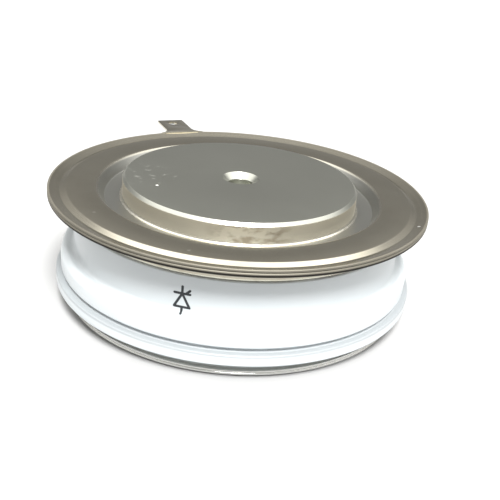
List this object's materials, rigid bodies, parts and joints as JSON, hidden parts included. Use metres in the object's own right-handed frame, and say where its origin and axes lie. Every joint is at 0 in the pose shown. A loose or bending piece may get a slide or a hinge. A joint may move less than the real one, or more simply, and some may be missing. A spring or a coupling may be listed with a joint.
{
  "type": "disc thyristor",
  "caption": "Disc thyristor in a flat ceramic capsule with copper poles on both faces, a welded metal rim, a small cathode ear and a gate tab; clamped between coolers to switch large currents.",
  "frame": {"origin": "centre of the anode face, on the capsule's axis; the anode face lies on z = 0", "axes": "+Z along the capsule's axis from the anode face to the cathode face, +Y towards the gate tab, -Y towards the viewer of the picture"},
  "size_m": [0.045, 0.0501, 0.0145],
  "materials": {
    "white_ceramic": "satin glaze",
    "plated_copper": "satin nickel plate on copper",
    "plated_sheet": "semi-bright nickel plate",
    "braze_metal": "bright",
    "molybdenum": "lapped",
    "silicon": "polished",
    "seal_rubber": "matt",
    "insulating_plastic": "matt",
    "contact_metal": "bright"
  },
  "bodies": {
    "root": {"ceramic_ring": "white_ceramic", "cathode_pole": "plated_copper", "anode_pole": "plated_copper", "cathode_flange": "plated_sheet", "weld_ring": "plated_sheet", "anode_flange": "plated_sheet", "anode_ring": "plated_sheet", "cathode_braze": "braze_metal", "anode_braze": "braze_metal", "anode_disc": "molybdenum", "wafer": "silicon", "edge_seal": "seal_rubber", "cathode_disc": "molybdenum", "centring_ring": "insulating_plastic", "gate_cup": "insulating_plastic", "gate_guide": "insulating_plastic", "gate_pin": "contact_metal", "gate_spring": "contact_metal", "gate_lead": "contact_metal", "lead_sleeve": "insulating_plastic", "gate_tube": "plated_sheet", "gate_tab": "plated_sheet"}
  },
  "joints": []
}
